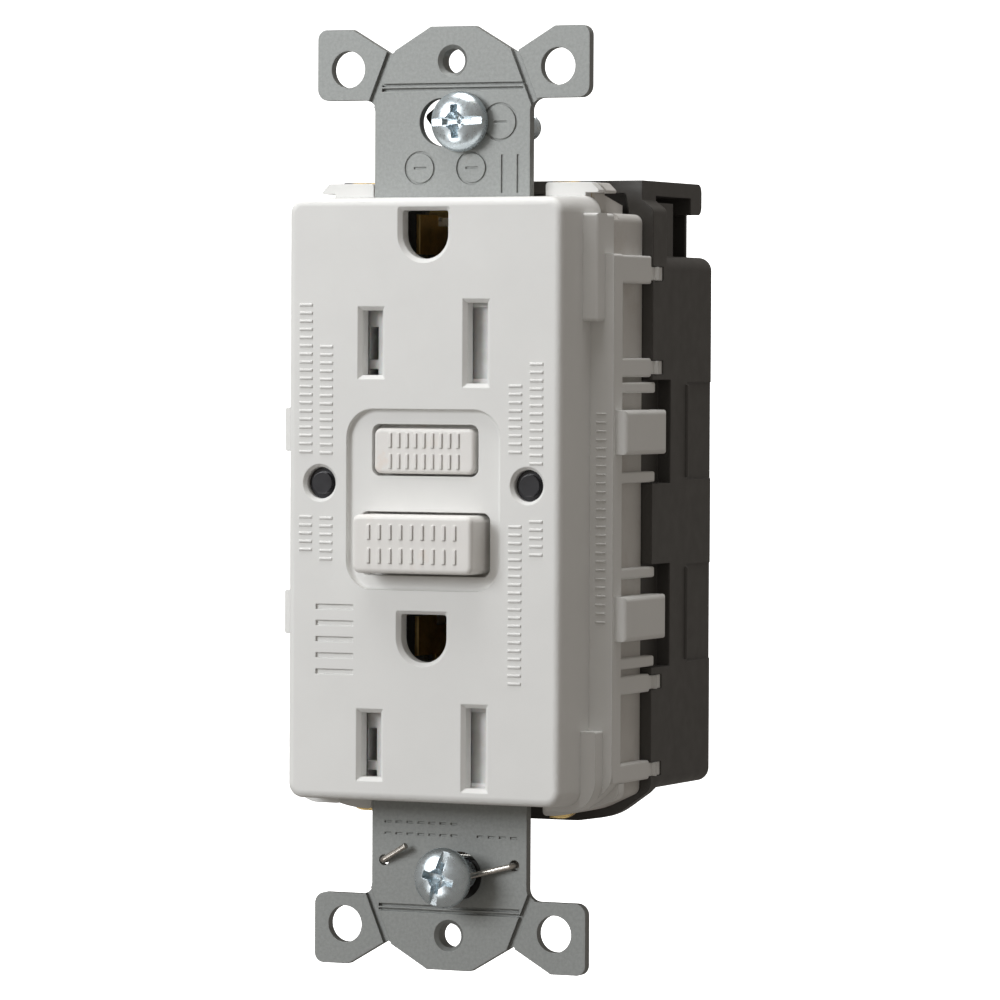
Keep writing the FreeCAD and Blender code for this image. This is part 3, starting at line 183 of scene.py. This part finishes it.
surface("chip_black", color=(0.022, 0.022, 0.023), vary=0.15, patch=500, rough=(0.5, 0.65),
        grain=3000, bump=0.3)
surface("resistor_tan", color=(0.50, 0.34, 0.19), vary=0.08, patch=400, rough=(0.35, 0.45),
        stain=((0.40, 0.10, 0.05), 900, (0.56, 0.6)))
surface("lamp_clear", color=(0.62, 0.14, 0.10), vary=0.06, patch=300, rough=(0.12, 0.2),
        Coat_Weight=0.4)

slots = {part["node"]: part["material_slot"] for part in frame["record"]["subparts"]}
for name, obj in nodes.items():
    obj.data.materials.clear()
    obj.data.materials.append(LOOKS[slots[name]])


# ---------------------------------------------------------------- meshes and pieces

CAD_ANGLE, PIECE_ANGLE, SCREW_ANGLE = 28.0, 32.0, 40.0  # edges sharper than this stay sharp
NO_ANGLE = 4.0           # stands in for an edge with no angle: more than any real one, in radians
CORNERS = ((-1, -1), (1, -1), (1, 1), (-1, 1))


def soften(mesh, angle):
    """Shades smooth across shallow edges and keeps the sharp ones."""
    mesh.shade_smooth()
    bm = bmesh.new()
    bm.from_mesh(mesh)
    limit = math.radians(angle)
    for edge in bm.edges:
        edge.smooth = len(edge.link_faces) == 2 and edge.calc_face_angle(NO_ANGLE) < limit
    bm.to_mesh(mesh)
    bm.free()


def linked(name, data):
    """Adds an object with this data to the scene."""
    made = bpy.data.objects.new(name, data)
    bpy.context.scene.collection.objects.link(made)
    return made


def to_object(name, bm):
    """Turns a bmesh into an object in the scene, with its faces looking outwards."""
    bmesh.ops.recalc_face_normals(bm, faces=bm.faces)
    mesh = bpy.data.meshes.new(name)
    bm.to_mesh(mesh)
    bm.free()
    return linked(name, mesh)


def piece(name, bm, look, body, replaced=(), smooth=PIECE_ANGLE):
    """Makes a visible piece from a bmesh, gives it a look and lets it ride on a body."""
    made = to_object(name, bm)
    made.data.materials.append(LOOKS[look])
    soften(made.data, smooth)
    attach(made, body)
    if replaced:
        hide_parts(*replaced)


def rectangle(bm, centre, half_x, half_z):
    """Four vertices around a centre, in a plane square to Y."""
    x, y, z = centre
    return [bm.verts.new((x + sx * half_x, y, z + sz * half_z)) for sx, sz in CORNERS]


def stack(bm, rings):
    """Closes a stack of four-cornered rings into a solid."""
    for low, high in zip(rings, rings[1:]):
        for i in range(4):
            j = (i + 1) % 4
            bm.faces.new((low[i], low[j], high[j], high[i]))
    bm.faces.new(list(reversed(rings[0])))
    bm.faces.new(rings[-1])


def lathe(bm, profile, centre, steps=72):
    """Revolves (radius, y) points about the line through centre along Y."""
    rings = []
    for radius, y in profile:
        if radius < 1e-7:
            rings.append([bm.verts.new((centre[0], y, centre[2]))])
            continue
        ring = []
        for i in range(steps):
            a = 2 * math.pi * i / steps
            spot = (centre[0] + radius * math.cos(a), y, centre[2] + radius * math.sin(a))
            ring.append(bm.verts.new(spot))
        rings.append(ring)
    for low, high in zip(rings, rings[1:]):
        for i in range(steps):
            j = (i + 1) % steps
            loop = [low[i % len(low)], low[j % len(low)], high[j % len(high)], high[i % len(high)]]
            unique = []
            for vert in loop:
                if vert not in unique:
                    unique.append(vert)
            bm.faces.new(unique)


# ---------------------------------------------------------------- generic raised marks

PAD_FOOT = 0.25          # how far a mark reaches into the face below it
PAD_WALL = 0.35          # share of a mark's height at which its upright sides start to slope in
PAD_SLOPE_LIMIT = 0.8    # share of a mark's half width that its slope may take up
FACE_Y = -7.2            # the front face, on which the columns of ribs stand
RIB_WIDTH, RIB_THICK, RIB_HEIGHT, RIB_PITCH = 1.6, 0.34, 0.12, 0.9
COLUMNS = (              # x, top, bottom and the gap left for the light
    (-14.3, 21.4, -6.4, (-1.7, 4.5)),
    (-11.8, 16.8, -7.2, (-1.7, 4.5)),
    (13.6, 15.0, -6.3, (-1.4, 4.1)),
    (11.1, 12.6, -20.3, (-2.0, 4.6)),
)
DASH_X, DASH_TOP, DASH_BOTTOM, DASH_PITCH = 18.15, 9.6, -14.0, 0.95
DASH_WIDTH, DASH_THICK, DASH_HEIGHT = 1.2, 0.22, 0.12


def pad(bm, centre, size, height):
    """A low raised bar on a face that looks towards -Y: its top is smaller than its foot."""
    x, y, z = (value * MM for value in centre)
    half_x, half_z = size[0] * MM / 2, size[1] * MM / 2
    height *= MM
    slope = min(height, half_x * PAD_SLOPE_LIMIT, half_z * PAD_SLOPE_LIMIT)
    levels = ((PAD_FOOT * MM, 0.0), (-height * PAD_WALL, 0.0), (-height, slope))
    stack(bm, [rectangle(bm, (x, y + dy, z), half_x - shrink, half_z - shrink)
               for dy, shrink in levels])


def legend_columns():
    """Columns of equal plain ribs, standing where side legends would be."""
    bm = bmesh.new()
    for x, top, bottom, gap in COLUMNS:
        z = top
        while z > bottom:
            if not gap[0] < z < gap[1]:
                pad(bm, (x, FACE_Y, z), (RIB_WIDTH, RIB_THICK), RIB_HEIGHT)
            z -= RIB_PITCH
    piece("cover_legend_ribs", bm, "cover_white", "outlet")


def flange_marks():
    """A column of small equal dashes down the cover's ledge, whose face is at y = 0."""
    bm = bmesh.new()
    z = DASH_TOP
    while z > DASH_BOTTOM:
        pad(bm, (DASH_X, 0.0, z), (DASH_WIDTH, DASH_THICK), DASH_HEIGHT)
        z -= DASH_PITCH
    piece("cover_ledge_dashes", bm, "cover_white", "outlet")


legend_columns()
flange_marks()


# ---------------------------------------------------------------- box screws

HEAD_HEIGHT = 2.1
HEAD_STEPS = 96
HEAD_PROFILE = (         # radius, y
    (0.0, -HEAD_HEIGHT), (0.95, -2.05), (1.7, -1.93), (2.3, -1.74), (2.8, -1.47), (3.12, -1.18),
    (3.29, -0.85), (3.35, -0.45), (3.3, -0.15), (3.15, 0.0), (0.0, 0.0))
CUT_FRONT = -2.6         # cuts start clear of the head's crown
HEAD_CUTS = (            # half x, half z, y of the bottom, taper
    (3.8, 0.52, -1.25, 0.12),
    (0.52, 1.98, -0.55, 0.3),
    (1.98, 0.52, -0.55, 0.3),
)
CROSS_HEART = ((CUT_FRONT, 1.7), (-1.2, 1.25), (-0.35, 0.05))  # y, reach
QUARTERS = (0, math.pi / 2, math.pi, 1.5 * math.pi)

CORE_RADIUS, TIP_RADIUS, TIP_LENGTH = 1.42, 1.0, 0.9
CORE_OVERLAP = 0.2       # the core starts this far inside the head, the thread this far behind it
THREAD_RADIUS, THREAD_ROOT, THREAD_PITCH = 1.74, 1.41, 0.794
THREAD_STOP = 1.7        # the thread's last turn starts this far from the screw's end
THREAD_STEPS = 48
THREAD_SHAPE = ((0.0, 0.0), (0.42, 1.0), (0.58, 1.0))  # along the pitch, rise
RUN_IN, RUN_OUT = 0.5, 0.8  # turns over which the thread grows and fades


def threaded(bm, centre, start, end):
    """A helical V thread along Y with a pointed run-out."""
    x, _, z = centre
    pitch, root, crest = THREAD_PITCH * MM, THREAD_ROOT * MM, THREAD_RADIUS * MM
    total = int((end - start) / pitch * THREAD_STEPS)
    columns = []
    for i in range(total + 1):
        a = 2 * math.pi * i / THREAD_STEPS
        y = start + pitch * i / THREAD_STEPS
        fade = min(1.0, i / (THREAD_STEPS * RUN_IN), (total - i) / (THREAD_STEPS * RUN_OUT))
        column = []
        for along, rise in THREAD_SHAPE:
            radius = root + (crest - root) * rise * fade
            spot_y = min(y + along * pitch, end + pitch)
            spot = (x + radius * math.cos(a), spot_y, z + radius * math.sin(a))
            column.append(bm.verts.new(spot))
        columns.append(column)
    for i in range(total):
        here, ahead = columns[i], columns[i + 1]
        for k in range(2):
            bm.faces.new((here[k], ahead[k], ahead[k + 1], here[k + 1]))
        if i + THREAD_STEPS < total:
            above, above_next = columns[i + THREAD_STEPS], columns[i + THREAD_STEPS + 1]
            bm.faces.new((here[2], ahead[2], above_next[0], above[0]))


def cut_away(solid, tools):
    """Cuts each tool object from the solid and returns the result as a bmesh."""
    for tool in tools:
        step = solid.modifiers.new("cut", "BOOLEAN")
        step.object = tool
        step.operation = "DIFFERENCE"
        step.solver = "EXACT"
    bpy.context.view_layer.update()
    shaped_solid = solid.evaluated_get(bpy.context.evaluated_depsgraph_get())
    shaped = bpy.data.meshes.new_from_object(shaped_solid)
    bm = bmesh.new()
    bm.from_mesh(shaped)
    bpy.data.meshes.remove(shaped)
    for gone in [solid] + tools:
        bpy.data.objects.remove(gone)
    return bm


def screw_head(turn):
    """A low domed head with a slot right across and a cross recess, at the origin."""
    bm = bmesh.new()
    lathe(bm, [(r * MM, y * MM) for r, y in HEAD_PROFILE], (0, 0, 0), HEAD_STEPS)
    head = to_object("head", bm)
    tools = []
    for half_x, half_z, back, taper in HEAD_CUTS:
        bm = bmesh.new()
        stack(bm, [rectangle(bm, (0, y * MM, 0), (half_x - shrink) * MM, (half_z - shrink) * MM)
                   for y, shrink in ((CUT_FRONT, 0.0), (back, taper))])
        tools.append(to_object("tool", bm))
    bm = bmesh.new()
    stack(bm, [[bm.verts.new((reach * MM * math.cos(a), y * MM, reach * MM * math.sin(a)))
                for a in QUARTERS] for y, reach in CROSS_HEART])
    tools.append(to_object("tool", bm))
    bm = cut_away(head, tools)
    spin = Matrix.Rotation(math.radians(-turn), 3, "Y")
    bmesh.ops.rotate(bm, cent=(0, 0, 0), matrix=spin, verts=bm.verts)
    return bm


def box_screw(name, body, turn):
    """Replaces a plain CAD screw with a threaded one that has the same size and place."""
    low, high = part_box(name)
    centre = ((low.x + high.x) / 2, 0, (low.z + high.z) / 2)
    back_of_head = low.y + HEAD_HEIGHT * MM
    bm = screw_head(turn)
    bmesh.ops.translate(bm, vec=(centre[0], back_of_head, centre[2]), verts=bm.verts)
    start, end = back_of_head - CORE_OVERLAP * MM, high.y
    core, tip = CORE_RADIUS * MM, TIP_RADIUS * MM
    lathe(bm, [(0.0, start), (core, start), (core, end - TIP_LENGTH * MM), (tip, end), (0.0, end)],
          centre)
    threaded(bm, centre, back_of_head + CORE_OVERLAP * MM, end - THREAD_STOP * MM)
    piece(name + "_threaded", bm, "screw_zinc", body, (name,), SCREW_ANGLE)


box_screw("box_screw_top", "screw_top", 2)
box_screw("box_screw_bottom", "screw_bottom", 75)

for obj in nodes.values():
    soften(obj.data, CAD_ANGLE)


# ---------------------------------------------------------------- floor, light and camera

# The floor, the lights, the camera's distance and NEAR are in metres.
FLOOR_LEVEL, FLOOR_FRONT, FLOOR_BACK, FLOOR_HALF_WIDTH = -0.075, -1.6, 0.55, 2.2
SWEEP_RADIUS, SWEEP_STEPS, WALL_TOP = 0.35, 12, 1.2
FLOOR_TONE, FLOOR_ROUGHNESS, FLOOR_GLOW = 0.9, 0.9, 1.2
WHITE = (1, 1, 1)
LIGHTS = (               # name, place, side, power, tint
    ("key", (-0.42, -0.60, 0.26), 0.35, 3.7, (0.98, 1.0, 1.02)),
    ("top", (-0.05, -0.08, 0.7), 0.5, 4.4, WHITE),
    ("low", (-0.34, -0.62, -0.32), 0.3, 1.3, WHITE),
)
ROOM_TINT, ROOM_GLOW = (1.0, 0.93, 0.85, 1), 0.24
VIEW_ANGLES = (24.5788, 1.4787, 0.26816)  # azimuth, elevation and roll in degrees
VIEW_AIM = (6.0223, 0.0, 0.003)
VIEW_DISTANCE, LENS, SENSOR, NEAR = 0.6226, 203.448, 36.0, 0.01


def pale_floor():
    """A pale floor that sweeps up into a wall behind the object."""
    bm = bmesh.new()
    rows = [(FLOOR_FRONT, FLOOR_LEVEL), (FLOOR_BACK, FLOOR_LEVEL)]
    for i in range(1, SWEEP_STEPS + 1):
        a = math.pi / 2 * i / SWEEP_STEPS
        rows.append((FLOOR_BACK + SWEEP_RADIUS * math.sin(a),
                     FLOOR_LEVEL + SWEEP_RADIUS * (1 - math.cos(a))))
    rows.append((FLOOR_BACK + SWEEP_RADIUS, WALL_TOP))
    grid = [[bm.verts.new((x, y, z)) for x in (-FLOOR_HALF_WIDTH, FLOOR_HALF_WIDTH)]
            for y, z in rows]
    for low, high in zip(grid, grid[1:]):
        bm.faces.new((low[0], low[1], high[1], high[0]))
    mesh = bpy.data.meshes.new("studio_floor")
    bm.to_mesh(mesh)
    bm.free()
    mesh.shade_smooth()
    made = linked("studio_floor", mesh)
    look = bpy.data.materials.new("floor_pale")
    look.use_nodes = True
    bsdf = look.node_tree.nodes["Principled BSDF"]
    bsdf.inputs["Base Color"].default_value = (FLOOR_TONE, FLOOR_TONE, FLOOR_TONE, 1)
    bsdf.inputs["Roughness"].default_value = FLOOR_ROUGHNESS
    bsdf.inputs["Emission Color"].default_value = (*WHITE, 1)
    bsdf.inputs["Emission Strength"].default_value = FLOOR_GLOW
    mesh.materials.append(look)
    made.visible_diffuse = False
    made.visible_glossy = False


def area_light(name, place, side, power, tint):
    """A square soft light aimed at the object's middle."""
    data = bpy.data.lights.new(name, "AREA")
    data.shape = "RECTANGLE"
    data.size, data.size_y = side, side
    data.energy = power
    data.color = tint
    made = linked(name, data)
    made.location = place
    made.rotation_euler = (-Vector(place)).to_track_quat("-Z", "Y").to_euler()


def room_light():
    """A weak warm light from all around."""
    world = bpy.data.worlds.new("studio")
    bpy.context.scene.world = world
    world.use_nodes = True
    background = world.node_tree.nodes["Background"]
    background.inputs["Color"].default_value = ROOM_TINT
    background.inputs["Strength"].default_value = ROOM_GLOW


def camera():
    """A long lens from the right of the face and slightly above it."""
    azimuth, elevation, roll = map(math.radians, VIEW_ANGLES)
    forward = Vector((-math.sin(azimuth) * math.cos(elevation),
                      math.cos(azimuth) * math.cos(elevation),
                      -math.sin(elevation)))
    right = Vector((math.cos(azimuth), math.sin(azimuth), 0))
    up = right.cross(forward)
    across = right * math.cos(roll) + up * math.sin(roll)
    upward = up * math.cos(roll) - right * math.sin(roll)
    data = bpy.data.cameras.new("camera")
    data.sensor_width = SENSOR
    data.lens = LENS
    data.clip_start = NEAR
    made = linked("camera", data)
    spot = Vector(VIEW_AIM) * MM - forward * VIEW_DISTANCE
    turn = Matrix((across, upward, -forward)).transposed().to_4x4()
    made.matrix_world = Matrix.Translation(spot) @ turn
    bpy.context.scene.camera = made


pale_floor()
for light in LIGHTS:
    area_light(*light)
room_light()
bpy.context.scene.view_settings.view_transform = "Standard"
camera()
